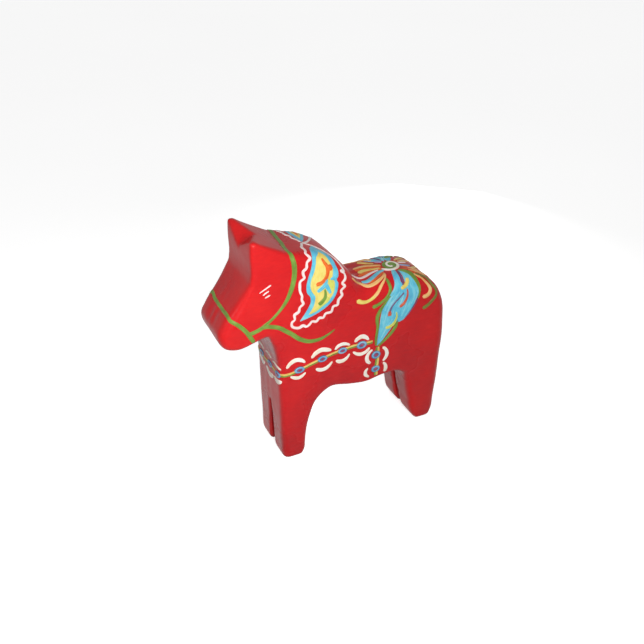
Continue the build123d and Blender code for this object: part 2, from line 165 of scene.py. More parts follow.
# Noise scales are per metre.
CLOUD_SCALE = 32  # slow changes of tone in the lacquer
STREAK_SCALE = 900  # streaks of the lacquer brush
STREAK_STRETCH = (0.3, 1.4, 1.0)
STREAK_SHARE = 0.3
GRAIN_SCALE = 1300  # wood grain that shows through
GRAIN_STRETCH = (1.0, 1.0, 0.3)
KNIFE_SCALE = 150  # small unevenness of the knife work
LACQUER_ROUGHNESS = (0.24, 0.34)
SHARP_EDGE = (0.53, 0.60)  # pointiness where an edge begins to wear and take the painted highlight, and where both are strongest
WORN_AND_LIT_MOST = 0.5
WORN_AND_LIT_STREAKS = (0.45, 0.62)  # streak values between which the wear and the painted edge highlight come in
WORN_AND_LIT_LEAST = 0.15


def red_lacquer():
    """Brushed red paint under clear varnish over knife-cut pine."""
    material, tree, shader = new_material("red_lacquer")
    place = tree.nodes.new("ShaderNodeTexCoord").outputs["Object"]
    clouds = noise_node(tree, place, CLOUD_SCALE)
    along_brush = stretched(tree, place, STREAK_STRETCH)
    streaks = noise_node(tree, along_brush, STREAK_SCALE, roughness=0.6)
    along_grain = stretched(tree, place, GRAIN_STRETCH)
    grain = noise_node(tree, along_grain, GRAIN_SCALE, roughness=0.6)
    tone = blend_node(tree, clouds, streaks, STREAK_SHARE)
    stops = [(0.32, LACQUER_DEEP), (0.5, LACQUER), (0.7, LACQUER_BRIGHT)]
    colour = ramp_node(tree, tone, stops)
    # Sharp edges turn a brighter red in streaks: partly worn lacquer, partly a painted highlight along the
    # edges.
    pointiness = tree.nodes.new("ShaderNodeNewGeometry").outputs["Pointiness"]
    at_edges = span_node(tree, pointiness, *SHARP_EDGE, 0.0, WORN_AND_LIT_MOST)
    in_streaks = span_node(tree, streaks, *WORN_AND_LIT_STREAKS, WORN_AND_LIT_LEAST, 1.0)
    worn_and_lit = math_node(tree, "MULTIPLY", at_edges, in_streaks)
    colour = mix_node(tree, worn_and_lit, colour, LACQUER_WORN_AND_LIT)
    cuts = noise_node(tree, place, KNIFE_SCALE, detail=2)
    normal = bump_node(tree, cuts, strength=0.22, distance=0.5 * MM)
    normal = bump_node(tree, grain, strength=0.06, distance=0.04 * MM, under=normal)
    normal = bump_node(tree, streaks, strength=0.10, distance=0.06 * MM, under=normal)
    varnish(tree, shader, colour, clouds, LACQUER_ROUGHNESS, normal)
    return material


BRISTLE_STRETCH = (2.6, 0.16, 1)  # bristle streaks: fine across a mark, long along it
PATCH_SCALE = 210  # thicker and thinner paint
PATCH_SHARE = 0.4
PAINT_ROUGHNESS = (0.28, 0.44)
THIN_RIM = (0.92, 1.14)  # where the paint begins to thin out at its rim, and where it is thinnest
RAGGED_RIM = 0.25


def oil_paint(name, dark, middle, light, thin=0.35):
    """Brushed oil paint: bristle streaks along the mark, thinner and redder at its rim."""
    material, tree, shader = new_material(name + "_paint")
    brush = tree.nodes.new("ShaderNodeAttribute")
    brush.attribute_name = "brush"
    rim = tree.nodes.new("ShaderNodeAttribute")
    rim.attribute_name = "rim"
    place = tree.nodes.new("ShaderNodeTexCoord").outputs["Object"]
    along_brush = stretched(tree, brush.outputs["Vector"], BRISTLE_STRETCH)
    bristles = noise_node(tree, along_brush, scale=1.0, detail=4, roughness=0.6)
    patches = noise_node(tree, place, PATCH_SCALE, detail=2)
    tone = blend_node(tree, bristles, patches, PATCH_SHARE)
    colour = ramp_node(tree, tone, [(0.34, dark), (0.5, middle), (0.64, light)])
    uneven_rim = math_node(tree, "MULTIPLY", bristles, RAGGED_RIM)
    ragged = math_node(tree, "ADD", rim.outputs["Fac"], uneven_rim)
    showing = span_node(tree, ragged, *THIN_RIM, 0.0, thin)
    colour = mix_node(tree, showing, colour, UNDER_RED)
    relief = bump_node(tree, bristles, strength=0.35, distance=0.10 * MM)
    varnish(tree, shader, colour, bristles, PAINT_ROUGHNESS, relief)
    return material


FLOOR_DARK = (0.86, 0.86, 0.86)
FLOOR_LIGHT = (0.89, 0.89, 0.89)
FLOOR_GLOW = 0.66  # the floor's own light, as the camera sees it
FLOOR_GLOW_IN_GLOSS = 0.30  # and as it is mirrored in the lacquer


def soft_floor():
    material, tree, shader = new_material("pale_floor")
    place = tree.nodes.new("ShaderNodeTexCoord").outputs["Object"]
    faint = noise_node(tree, place, scale=3, detail=2)
    colour = ramp_node(tree, faint, [(0.3, FLOOR_DARK), (0.7, FLOOR_LIGHT)])
    tree.links.new(colour, shader.inputs["Base Color"])
    shader.inputs["Roughness"].default_value = 0.9
    shader.inputs["Specular IOR Level"].default_value = 0.1
    shader.inputs["Emission Color"].default_value = (1, 1, 1, 1)
    in_gloss = tree.nodes.new("ShaderNodeLightPath").outputs["Is Glossy Ray"]
    glow = span_node(tree, in_gloss, 0, 1, FLOOR_GLOW, FLOOR_GLOW_IN_GLOSS)
    tree.links.new(glow, shader.inputs["Emission Strength"])
    return material


RED = red_lacquer()
# Each paint: name, dark, middle and light tone, and how much red shows through its rim.
GREEN = oil_paint("green", (0.13, 0.19, 0.03), (0.165, 0.30, 0.045), (0.24, 0.40, 0.07), thin=0.55)
OLIVE = oil_paint("olive", (0.17, 0.12, 0.025), (0.19, 0.21, 0.035), (0.24, 0.31, 0.055), thin=0.8)
WHITE = oil_paint("white", (0.84, 0.60, 0.57), (0.91, 0.79, 0.76), (0.95, 0.89, 0.87), thin=0.3)
CREAM = oil_paint("cream", (0.90, 0.76, 0.56), (0.96, 0.90, 0.78), (0.97, 0.95, 0.90), thin=0.25)
BLUE = oil_paint("blue", (0.10, 0.36, 0.62), (0.12, 0.56, 0.74), (0.30, 0.72, 0.78))
PALE_BLUE = oil_paint("pale_blue", (0.16, 0.56, 0.73), (0.22, 0.64, 0.78), (0.42, 0.78, 0.84))
BEAD_BLUE = oil_paint("bead_blue", (0.10, 0.28, 0.54), (0.16, 0.43, 0.68), (0.38, 0.66, 0.80))
DEEP_BLUE = oil_paint("deep_blue", (0.05, 0.08, 0.14), (0.06, 0.14, 0.24), (0.12, 0.26, 0.36))
LILAC = oil_paint("lilac", (0.20, 0.24, 0.50), (0.34, 0.42, 0.66), (0.50, 0.62, 0.78))
YELLOW = oil_paint("yellow", (0.72, 0.50, 0.10), (0.84, 0.68, 0.16), (0.86, 0.78, 0.26))
LIME = oil_paint("lime", (0.50, 0.56, 0.10), (0.68, 0.70, 0.14), (0.80, 0.78, 0.22))
PEACH = oil_paint("peach", (0.80, 0.38, 0.12), (0.90, 0.54, 0.20), (0.92, 0.68, 0.34))
ORANGE = oil_paint("orange", (0.66, 0.09, 0.015), (0.80, 0.13, 0.02), (0.86, 0.24, 0.04))
RUST = oil_paint("rust", (0.40, 0.05, 0.012), (0.56, 0.10, 0.014), (0.66, 0.18, 0.03))
OCHRE = oil_paint("ochre", (0.62, 0.38, 0.08), (0.80, 0.56, 0.14), (0.86, 0.70, 0.26), thin=0.5)
CRIMSON = oil_paint("crimson", (0.30, 0.020, 0.05), (0.44, 0.035, 0.07), (0.58, 0.10, 0.12))
PLUM = oil_paint("plum", (0.10, 0.05, 0.11), (0.16, 0.09, 0.20), (0.26, 0.18, 0.34))
BRICK = oil_paint("brick", (0.52, 0.05, 0.03), (0.66, 0.10, 0.05), (0.74, 0.20, 0.12))


# ---- the carved body ----

VOXEL = 0.7 * MM
SOFTENING = 16  # smoothing passes that take the voxel steps away
CUT_SIZE = 11 * MM  # a knife cut's breadth
CUT_DEPTH = 0.14 * MM
FINER = 2.3  # smaller cuts between the large ones, this many times finer
FINER_SHARE = 0.4
SOLE = 1.5 * MM  # over this height the cuts come in, so that the feet stay flat
SOLE_START = 0.3  # the share of that height without any
WELD = 0.001 * MM


def carved_horse():
    """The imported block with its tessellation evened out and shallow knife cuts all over."""
    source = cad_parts["carved_body"]
    block = placed("block", source.data.copy())
    welded = bmesh.new()
    welded.from_mesh(block.data)
    bmesh.ops.remove_doubles(welded, verts=welded.verts, dist=WELD)
    welded.to_mesh(block.data)
    welded.free()
    even = block.modifiers.new("even", "REMESH")
    even.mode = "VOXEL"
    even.voxel_size = VOXEL
    soft = block.modifiers.new("soft", "SMOOTH")
    soft.factor = 0.5
    soft.iterations = SOFTENING
    graph = bpy.context.evaluated_depsgraph_get()
    mesh = bpy.data.meshes.new_from_object(block.evaluated_get(graph))
    bpy.data.objects.remove(block)
    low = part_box("carved_body")[0]
    normals = [vertex.normal.copy() for vertex in mesh.vertices]
    for vertex, normal in zip(mesh.vertices, normals):
        cut = noise.noise(vertex.co / CUT_SIZE)
        cut += FINER_SHARE * noise.noise(vertex.co / CUT_SIZE * FINER)
        lift = min(max((vertex.co.z - low.z) / SOLE - SOLE_START, 0), 1)
        vertex.co += normal * (CUT_DEPTH * cut * lift)
        vertex.co.z = max(vertex.co.z, low.z)
    mesh.polygons.foreach_set("use_smooth", [True] * len(mesh.polygons))
    mesh.name = "carved_horse"
    mesh.materials.clear()
    mesh.materials.append(RED)
    horse = placed("carved_horse", mesh)
    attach(horse, "root")
    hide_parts("carved_body")
    return horse


horse = carved_horse()
SKIN = BVHTree.FromPolygons(
    [vertex.co.copy() for vertex in horse.data.vertices],
    [tuple(polygon.vertices) for polygon in horse.data.polygons],
)


# ---- places on the body ----

FAR = 200 * MM
EDGE_WIDTH = 1  # stands in for the width of an edge, which isn't drawn
CLOSEST = 0.01 * MM  # least length between two knots
THINNEST = 0.02 * MM  # least width of a mark
LEAST_ROWS = 3
LEAST_GAP = 1e-9  # keeps a length of nothing from being divided by


def struck(start, direction):
    place = SKIN.ray_cast(start, direction)[0]
    if place is None:
        place = SKIN.find_nearest(start + direction * FAR)[0]
    return place


def laid(rows, start, direction):
    """Points on the body for rows (u, v, width), or (u, v) where no width is needed."""
    points = []
    for u, v, *width in rows:
        place = struck(start(u, v), direction)
        points.append((place, (width[0] if width else EDGE_WIDTH) * MM))
    return points


def left(*rows):
    """Points (x, z, width) on the horse's left side."""
    return laid(rows, lambda x, z: Vector((x * MM, -FAR, z * MM)), Vector((0, 1, 0)))


def above(*rows):
    """Points (x, y, width) seen from above."""
    return laid(rows, lambda x, y: Vector((x * MM, y * MM, FAR)), Vector((0, 0, -1)))


def ahead(*rows):
    """Points (y, z, width) seen from the front."""
    return laid(rows, lambda y, z: Vector((-FAR, y * MM, z * MM)), Vector((1, 0, 0)))


def this_side(path):
    return path


def other_side(path, shift=0.0):
    """The same points on the horse's right side, moved along it by shift."""
    return [(SKIN.find_nearest(Vector((p.x + shift * MM, -p.y, p.z)))[0], width) for p, width in path]


def smooth_run(knots, step):
    """Points every step along a smooth line through the knots, each with its width."""
    times = [0.0]
    for (here, _), (there, _) in zip(knots, knots[1:]):
        times.append(times[-1] + max((there - here).length, CLOSEST))
    states = [Vector((*place, width)) for place, width in knots]
    slopes = []
    last = len(knots) - 1
    for index in range(len(knots)):
        before = max(index - 1, 0)
        after = min(index + 1, last)
        if before == index or after == index:
            slopes.append((states[after] - states[before]) / (times[after] - times[before]))
            continue
        coming = times[index] - times[before]
        going = times[after] - times[index]
        back = (states[index] - states[before]) / coming
        forth = (states[after] - states[index]) / going
        slopes.append((back * going + forth * coming) / (coming + going))
    count = max(int(times[-1] / step), LEAST_ROWS)
    run = []
    piece = 0
    for number in range(count + 1):
        time = times[-1] * number / count
        while piece < last - 1 and time > times[piece + 1]:
            piece += 1
        long = times[piece + 1] - times[piece]
        t = (time - times[piece]) / long
        a = states[piece] * (2 * t**3 - 3 * t**2 + 1) + slopes[piece] * (long * (t**3 - 2 * t**2 + t))
        b = states[piece + 1] * (3 * t**2 - 2 * t**3) + slopes[piece + 1] * (long * (t**3 - t**2))
        state = a + b
        run.append((Vector(state[:3]), max(state[3], THINNEST)))
    return run


def evenly(run, count):
    """count + 1 places at equal lengths along a run."""
    lengths = [0.0]
    for (here, _), (there, _) in zip(run, run[1:]):
        lengths.append(lengths[-1] + (there - here).length)
    places = []
    index = 0
    for number in range(count + 1):
        wanted = lengths[-1] * number / count
        while index < len(run) - 2 and lengths[index + 1] < wanted:
            index += 1
        gap = max(lengths[index + 1] - lengths[index], LEAST_GAP)
        share = (wanted - lengths[index]) / gap
        places.append(run[index][0].lerp(run[index + 1][0], min(max(share, 0), 1)))
    return places


# ---- paint films ----

STEP = 0.4 * MM  # between rows along a mark
FILM = 0.16 * MM  # a film's height over the wood
LAYER = 0.07 * MM  # each later layer of paint stands this much higher
ROOT = 0.12 * MM  # how far a film reaches into the surface under it
TUCK = 0.4 * ROOT  # how far its edge does
SMALLEST = 0.03 * MM  # least half width of a mark
FULL_HALF = 0.35 * MM  # half width from which a mark has its full height
RAGGED = 0.07  # how much a mark's width wavers
RAGGED_LENGTH = 1.7 * MM
SEED_STEP = 3.7  # gives each mark streaks of its own
# across a mark: place from edge to edge, and height as a share of the film, or -1 for the tucked edge
CROWN = [
    (-1, -1), (-0.94, 0.7), (-0.78, 1.06), (-0.4, 0.94), (0, 0.9),
    (0.4, 0.94), (0.78, 1.06), (0.94, 0.7), (1, -1),
]
LEAF_GAP = 0.5 * MM  # between columns across a leaf
LEAST_COLUMNS = 8
EVEN_SHARE = 0.4  # 1 spaces a leaf's columns evenly, 0 crowds them at its edges
BLUNT = 0.2  # a leaf stops this share of a row short of its tip
LEAF_SLOPE = 0.22 * MM  # a leaf reaches its full height this far in from its edge
RIM_REACH = 1.2 * MM  # its paint is thinner from the edge in to here
RIM_FADE = 0.6
DISC_STEPS = 12


class Film:
    """Collects the brush marks of one piece, which is called name_paint."""

    def __init__(self, name):
        self.name = name + "_paint"
        self.points = []
        self.faces = []
        self.brush = []
        self.rim = []
        self.paints = []
        self.face_paint = []
        self.marks = 0

    def add_rows(self, rows, paint):
        """Bridges closed rows of (point, brush place, rim share), and closes both ends."""
        if paint not in self.paints:
            self.paints.append(paint)
        slot = self.paints.index(paint)
        first = len(self.points)
        width = len(rows[0])
        for row in rows:
            for point, place, rim in row:
                self.points.append(point)
                self.brush.append(place)
                self.rim.append(rim)
        for row in range(len(rows) - 1):
            a = first + row * width
            b = a + width
            for column in range(width):
                following = (column + 1) % width
                self.faces.append((a + column, a + following, b + following, b + column))
                self.face_paint.append(slot)
        self.faces.append(tuple(first + column for column in reversed(range(width))))
        self.faces.append(tuple(first + (len(rows) - 1) * width + column for column in range(width)))
        self.face_paint += [slot, slot]
        self.marks += 1

    def stroke(self, path, paint, layer=0, start=1.0, end=1.0):
        """One brush mark. start and end say how far its ends are drawn out: 1 is round, 3 long."""
        run = smooth_run(path, STEP)
        seed = self.marks * SEED_STEP + len(self.name)
        places = [SKIN.find_nearest(place)[0] for place, width in run]
        lengths = [0.0]
        for here, there in zip(places, places[1:]):
            lengths.append(lengths[-1] + (there - here).length)
        total = lengths[-1]
        rows = []
        for index, (place, (_, width)) in enumerate(zip(places, run)):
            ahead_of = places[min(index + 1, len(places) - 1)]
            behind = places[max(index - 1, 0)]
            along = (ahead_of - behind).normalized()
            normal = SKIN.find_nearest(place)[1]
            across = normal.cross(along).normalized()
            gone = lengths[index]
            half = width / 2
            ragged = 1 + RAGGED * noise.noise(Vector((gone / RAGGED_LENGTH, seed, 0)))
            half *= ragged * end_share(gone, half * start) * end_share(total - gone, half * end)
            half = max(half, SMALLEST)
            height = (FILM + LAYER * layer) * min(1.0, half / FULL_HALF)
            row = []
            for share, lift in CROWN:
                spot, out = SKIN.find_nearest(place + across * (half * share))[:2]
                point = spot + out * (height * lift if lift > 0 else -TUCK)
                row.append((point, (share * width / 2 / MM, gone / MM, seed), abs(share)))
            bottom = place - normal * ROOT * 2
            row.append((bottom, (0, gone / MM, seed), 1.0))
            rows.append(row)
        self.add_rows(rows, paint)

    def pair(self, path, paint, layer=0, start=1.0, end=1.0):
        """The same brush mark on both sides of the horse."""
        self.stroke(path, paint, layer, start, end)
        self.stroke(other_side(path), paint, layer, start, end)

    def leaf(self, one_edge, other_edge, paint, layer=0):
        """A filled shape between two edges that both run from tip to tip."""
        one = smooth_run(one_edge, STEP)
        other = smooth_run(other_edge, STEP)
        count = max(len(one), len(other))
        one = evenly(one, count)
        other = evenly(other, count)
        widest = max((a - b).length for a, b in zip(one, other))
        columns = max(int(widest / LEAF_GAP), LEAST_COLUMNS)
        seed = self.marks * SEED_STEP + len(self.name)
        height = FILM + LAYER * layer
        rows = []
        for index in range(count + 1):
            a = one[index]
            b = other[index]
            if index == 0:
                a = one[0].lerp(one[1], BLUNT)
                b = other[0].lerp(other[1], BLUNT)
            if index == count:
                a = one[-1].lerp(one[-2], BLUNT)
                b = other[-1].lerp(other[-2], BLUNT)
            wide = (a - b).length
            top = []
            under = []
            for column in range(columns + 1):
                crowded = (1 - math.cos(math.pi * column / columns)) / 2
                share = crowded * (1 - EVEN_SHARE) + column / columns * EVEN_SHARE
                spot, out = SKIN.find_nearest(a.lerp(b, share))[:2]
                rim = abs(2 * share - 1)
                inset = min(share, 1 - share) * wide
                lift = min(inset / LEAF_SLOPE, 1)
                rim_share = 1 - min(inset / RIM_REACH, 1) * RIM_FADE
                mark = ((share - 0.5) * widest / MM, index * STEP / MM, seed)
                edge = column in (0, columns)
                top.append((spot + out * (-TUCK if edge else height * lift), mark, rim_share))
                if not edge:
                    under.append((spot - out * ROOT, mark, rim))
            rows.append(top + list(reversed(under)))
        self.add_rows(rows, paint)

    def disc(self, centre, across, high, paint, layer=0):
        """A round dab: centre is a point on the body, across and high its two radii as vectors."""
        arcs = []
        for side in (1, -1):
            arc = []
            for step in range(DISC_STEPS + 1):
                turn = math.pi * step / DISC_STEPS
                spot = centre - across * math.cos(turn) + high * (side * math.sin(turn))
                arc.append((spot, EDGE_WIDTH * MM))
            arcs.append(arc)
        self.leaf(arcs[0], arcs[1], paint, layer)

    def piece(self, colour, *replaced):
        mesh = bpy.data.meshes.new(self.name)
        mesh.from_pydata([tuple(point) for point in self.points], [], self.faces)
        for paint in self.paints:
            mesh.materials.append(paint)
        mesh.polygons.foreach_set("material_index", self.face_paint)
        mesh.polygons.foreach_set("use_smooth", [True] * len(self.faces))
        brush = mesh.attributes.new("brush", "FLOAT_VECTOR", "POINT")
        brush.data.foreach_set("vector", [number for place in self.brush for number in place])
        rim = mesh.attributes.new("rim", "FLOAT", "POINT")
        rim.data.foreach_set("value", self.rim)
        mesh.validate()
        tidy = bmesh.new()
        tidy.from_mesh(mesh)
        bmesh.ops.recalc_face_normals(tidy, faces=tidy.faces)
        tidy.to_mesh(mesh)
        tidy.free()
        item = placed(self.name, mesh)
        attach(item, "root")
        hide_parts(*replaced)


def end_share(distance, reach):
    """How wide a mark is near its end, as a share of its full width."""
    if reach <= 0 or distance >= reach:
        return 1.0
    return math.sqrt(max(1 - (1 - distance / reach) ** 2, 0.0))


def both(name):
    return name + "_left", name + "_right"


# ---- bridle ----

def noseband():
    near = left((-46.3, 78.3, 2.2), (-48, 81.8, 2.3), (-49.5, 84.8, 2.3), (-52, 88.3, 2.2), (-54.5, 91, 2.1),
                (-57, 93, 2))
    front = ahead((-13, 93.8, 2), (-6, 94, 2), (0, 94.1, 2), (6, 94.3, 2), (12.5, 94.7, 2))
    film = Film("noseband")
    film.stroke(near + front + other_side(list(reversed(near))), GREEN)
    film.piece("green", "noseband")


def cheek_strap():
    near = left((-49, 83.6, 2.2), (-46, 84, 2.3), (-42, 85.3, 2.2), (-40, 86.6, 1.9), (-37, 88.5, 1.7),
                (-34, 91, 1.6), (-31, 94, 1.8), (-28.7, 97, 2.1), (-27, 100, 2.4), (-25.6, 103.5, 2.6),
                (-24.5, 107.5, 2.7), (-24, 112, 2.7), (-24.2, 116, 2.6))
    top = above((-25.7, -12, 2.3), (-25.5, -8, 2.3), (-24.8, -3, 2.3), (-24.6, 3, 2.3), (-24.2, 9, 2.3),
                (-24, 12, 2.3))
    film = Film("cheek_strap")
    film.stroke(near + top + other_side(list(reversed(near))), GREEN)
    film.piece("green", "cheek_strap")


def reins():
    rein = left((-42, 85.2, 1.9), (-40, 85.5, 2.2), (-36.5, 84.6, 2.4), (-33, 83, 2.4), (-30, 80.5, 2.4),
                (-27, 78, 2.5), (-22.5, 73.6, 2.5), (-17.5, 70.9, 2.3), (-12.5, 70.5, 2), (-7.5, 71.9, 1.3),
                (-3.3, 74.1, 0.6))
    film = Film("rein")
    film.pair(rein, GREEN, layer=1, end=4)
    film.piece("green", *both("rein"))


def eye_ticks():
    ticks = [
        left((-42.2, 104.6, 0.5), (-39, 106.1, 0.75), (-36, 107.5, 0.8)),
        left((-40.5, 102.9, 0.55), (-38.9, 103.9, 0.75), (-37.2, 104.6, 0.7)),
        left((-39.6, 101.3, 0.6), (-38.1, 101.8, 0.8), (-36.6, 102.3, 0.7)),
    ]
    film = Film("eye_tick")
    for tick in ticks:
        film.pair(tick, WHITE, start=2.5)
    film.piece("white", *both("eye_ticks"))


# ---- mane panel ----

BORDER = 1.4  # the wavy border's brush width
REAR_BORDER = 1.1  # and where it runs back over the crest
FAR_REAR_BORDER = 1.2
WAVER = 0.5  # how much the border's width wavers
WAVER_SCALE = 0.45
PANEL_SHIFT = -3.2  # the right-hand panel was painted this much further forward

BORDER_TOP_FRONT = [(-14.2, -2.6), (-15.6, -6), (-16.6, -8.5), (-16.2, -10.5), (-16.5, -12.5)]
BORDER_SIDE = [
    (-17, 118.6), (-15.4, 116.2), (-17.4, 115), (-18, 112), (-19.6, 110.7), (-19.6, 109), (-19.1, 107.2),
    (-21.2, 105.7), (-21.6, 103), (-21.5, 100.2), (-20.6, 97.6), (-20.8, 95.5), (-20.1, 93.2), (-22, 91.6),
    (-22.6, 89.4), (-24.8, 88.1), (-24.9, 85.4), (-26.4, 84.2), (-26.4, 82.2), (-24.9, 80.9), (-22.5, 80.3),
    (-20.6, 81), (-18.8, 79.9), (-17.2, 80.6), (-15.8, 82), (-13.4, 81.4), (-11.8, 82.9), (-9.7, 82.6),
    (-8.4, 84.5), (-5.3, 84.8), (-4, 87.6), (-1.9, 87.8), (-1.3, 90.5), (0.7, 92.8), (0.2, 95.3),
    (2.3, 97.4), (0.9, 99.2), (2.8, 101.2), (2.8, 103.2), (0.9, 105.6),
]
BORDER_TOP_REAR = [
    (2.8, -14.2), (1.2, -12.8), (-0.6, -11.2), (-4, -8.6), (-6.5, -6), (-9.2, -4.4), (-11.6, -3.2),
    (-14.2, -2.4),
]
FAR_BORDER_FRONT = [
    (-14.3, -1.6), (-15.5, 1.5), (-17, 3), (-17.2, 5.5), (-18.7, 6.9), (-19.5, 9.5), (-20.6, 12),
]
FAR_BORDER_REAR = [
    (-2, 12.6), (-4, 10.3), (-5.5, 7.5), (-7, 4.5), (-9, 1.5), (-11.2, -0.9), (-13.6, -2.4),
]

MANE_FRONT_TOP = [(-10.4, -5), (-12.2, -7.5), (-13.6, -11)]
MANE_FRONT = [(-14.2, 116.8), (-15, 113.6), (-15.8, 110.4), (-17.2, 106.5), (-18.2, 102.5), (-18, 98.6),
              (-16.4, 96), (-16.3, 93), (-17.6, 90.2), (-19.6, 87.2), (-22.2, 84)]
MANE_REAR_TOP = [(-9.6, -5), (-7.4, -7.6), (-4.6, -10.4), (-2.4, -13)]
MANE_REAR = [(-1.6, 108.6), (-0.8, 106), (-1, 104), (-1.9, 102.2), (-1.1, 99.8), (-1.4, 97), (-2.2, 94.4),
             (-4.2, 91.2), (-7.4, 88.4), (-12, 86), (-17, 84.6), (-22, 83.6)]
FAR_MANE_FRONT_TOP = [(-13.6, -0.8), (-14.5, 2), (-15.5, 5), (-16.6, 9)]
FAR_MANE_REAR_TOP = [(-13, -0.8), (-11.6, 1.4), (-9.8, 5), (-8.3, 9)]
FILL_FRONT_TOP = [(-9.8, -11.4), (-10.8, -13.2)]
FILL_FRONT = [(-12.2, 115.6), (-13.2, 112.6), (-14.2, 109), (-15.8, 105), (-16.2, 101), (-15.2, 98),
              (-13.9, 96), (-14, 93.6), (-14.8, 90.6), (-17.5, 86.6)]
FILL_REAR_TOP = [(-9, -11.4), (-6.6, -12.6)]
FAR_FILL_FRONT_TOP = [(-12.8, 3.2), (-13.9, 6.6), (-15, 10.6)]
FAR_FILL_REAR_TOP = [(-12.4, 3.2), (-11, 6), (-9.8, 9.6)]
FILL_REAR = [(-4.7, 111), (-3.8, 108.5), (-4, 106), (-4.2, 103.6), (-3.1, 101), (-3, 98), (-3.8, 95),
             (-6, 92), (-9.4, 89.4), (-13, 87.2), (-17.3, 86.1)]


def with_width(rows, width):
    return [(u, v, width) for u, v in rows]


def uneven(rows, width):
    """About the same width all along, as a hand lays it."""
    return [(u, v, width * (1 + WAVER * noise.noise(Vector((u, v, 0)) * WAVER_SCALE))) for u, v in rows]


def on_panel(path):
    return other_side(path, PANEL_SHIFT)


def mane_border():
    front_top = above(*uneven(BORDER_TOP_FRONT, BORDER))
    side = left(*uneven(BORDER_SIDE, BORDER))
    rear_top = above(*with_width(BORDER_TOP_REAR, REAR_BORDER))
    film = Film("mane_border")
    film.stroke(front_top + side + rear_top, WHITE, layer=1)
    far_front = above(*uneven(FAR_BORDER_FRONT, BORDER))
    far_rear = above(*with_width(FAR_BORDER_REAR, FAR_REAR_BORDER))
    film.stroke(far_front + on_panel(side[1:-2]) + far_rear, WHITE, layer=1)
    film.piece("white", *both("mane_border"))


def mane_leaf():
    front_top = above(*MANE_FRONT_TOP)
    rear_top = above(*MANE_REAR_TOP)
    front = left(*MANE_FRONT)
    rear = left(*MANE_REAR)
    film = Film("mane_leaf")
    film.leaf(front_top + front, rear_top + rear, BLUE)
    far_front = above(*FAR_MANE_FRONT_TOP) + on_panel(front)
    far_rear = above(*FAR_MANE_REAR_TOP) + on_panel(rear)
    film.leaf(far_front, far_rear, BLUE)
    film.piece("blue", *both("mane_leaf"))


def mane_fill():
    front = left(*FILL_FRONT)
    rear = left(*FILL_REAR)
    lobe_front = left((-7.2, 103.8), (-6.6, 101), (-6.2, 98.4), (-5.4, 96))
    lobe_rear = left((-6.8, 104), (-4.4, 102.8), (-3.3, 100.5), (-3.6, 97.4), (-5.2, 95.8))
    low_front = left((-8.4, 94.8), (-9.6, 92.4), (-12.4, 89.6), (-17.2, 86.8))
    low_rear = left((-8, 94.8), (-5.8, 92.6), (-10.4, 88.9), (-17, 86.4))
    film = Film("mane_fill")
    near_front = above(*FILL_FRONT_TOP) + front
    near_rear = above(*FILL_REAR_TOP) + rear
    film.leaf(near_front, near_rear, YELLOW, layer=1)
    far_front = above(*FAR_FILL_FRONT_TOP) + on_panel(front)
    far_rear = above(*FAR_FILL_REAR_TOP) + on_panel(rear)
    film.leaf(far_front, far_rear, YELLOW, layer=1)
    for edge, other in ((lobe_front, lobe_rear), (low_front, low_rear)):
        film.leaf(edge, other, LIME, layer=2)
        film.leaf(on_panel(edge), on_panel(other), LIME, layer=2)
    film.piece("yellow", *both("mane_leaf_fill"))


def mane_details():
    scroll = left((-9.4, 114.6, 1.3), (-8.3, 112.5, 1.7), (-7.1, 110.2, 2), (-6.9, 107.4, 2.1),
                  (-7.9, 104.4, 2.1), (-10.1, 102.5, 2.3), (-13.3, 101.8, 2.3))
    dab = left((-7, 109, 2.4), (-5.4, 109.4, 3.6), (-4.2, 109.8, 2.8))
    fork = [
        left((-7.5, 104.2, 0.9), (-7.8, 102, 2), (-9.2, 100, 2.6), (-11, 98.8, 2.4), (-12.8, 97.8, 1.8)),
        left((-8.2, 101.4, 2.2), (-6.8, 98.4, 2.2), (-5.4, 95.2, 1.4)),
        left((-1.6, 105.2, 2.2), (-2.8, 104, 3), (-4.4, 103.4, 2), (-5.8, 103.4, 0.8)),
    ]
    far_start = above((-12.2, 6.6, 1), (-12.4, 9.4, 1.3))
    stem = left((-8.6, 98.6, 1), (-8.3, 96.2, 1.4), (-8.6, 93.8, 1.9), (-10, 92, 2.3), (-12.2, 90.5, 2.4))
    veins = Film("mane_scroll")
    forks = Film("mane_fork")
    stems = Film("mane_stem")
    veins.stroke(scroll, ORANGE, layer=3, start=2)
    veins.stroke(far_start + on_panel(scroll), ORANGE, layer=3, start=2)
    for side in (this_side, on_panel):
        veins.stroke(side(dab), ORANGE, layer=4)
        for branch in fork:
            forks.stroke(side(branch), BLUE, layer=3)
        stems.stroke(side(stem), GREEN, layer=4, start=3)
    veins.piece("orange", *both("mane_leaf_veins"))
    forks.piece("blue", *both("mane_leaf_fork"))
    stems.piece("green", *both("mane_leaf_stem"))


# ---- saddle flower ----

ROSETTE = (36.2, -0.9)
ROSETTE_LONG = 4.6  # its two radii
ROSETTE_ACROSS = 4.7


def rosette():
    centre = above(ROSETTE)[0][0]
    film = Film("rosette_disc")
    along = Vector((ROSETTE_LONG, 0, 0)) * MM
    across = Vector((0, ROSETTE_ACROSS, 0)) * MM
    film.disc(centre, along, across, GREEN, layer=2)
    film.piece("green", "rosette_disc")
    spiral = above((29.8, -2.6, 1), (31.3, -4.1, 1.5), (33.6, -5.3, 1.7), (36.4, -5.3, 1.7),
                   (38.9, -3.6, 1.7), (40, -1.1, 1.6), (39.4, 1.2, 1.5), (37.6, 2.5, 1.4),
                   (35.8, 2.1, 1.3), (34.6, 0.7, 1.3), (34.4, -1.1, 1.3), (35.3, -2.5, 1.3),
                   (36.9, -2.2, 1.2))
    film = Film("rosette_spiral")
    film.stroke(spiral, CREAM, layer=4, start=3)
    film.piece("white", "rosette_spiral")


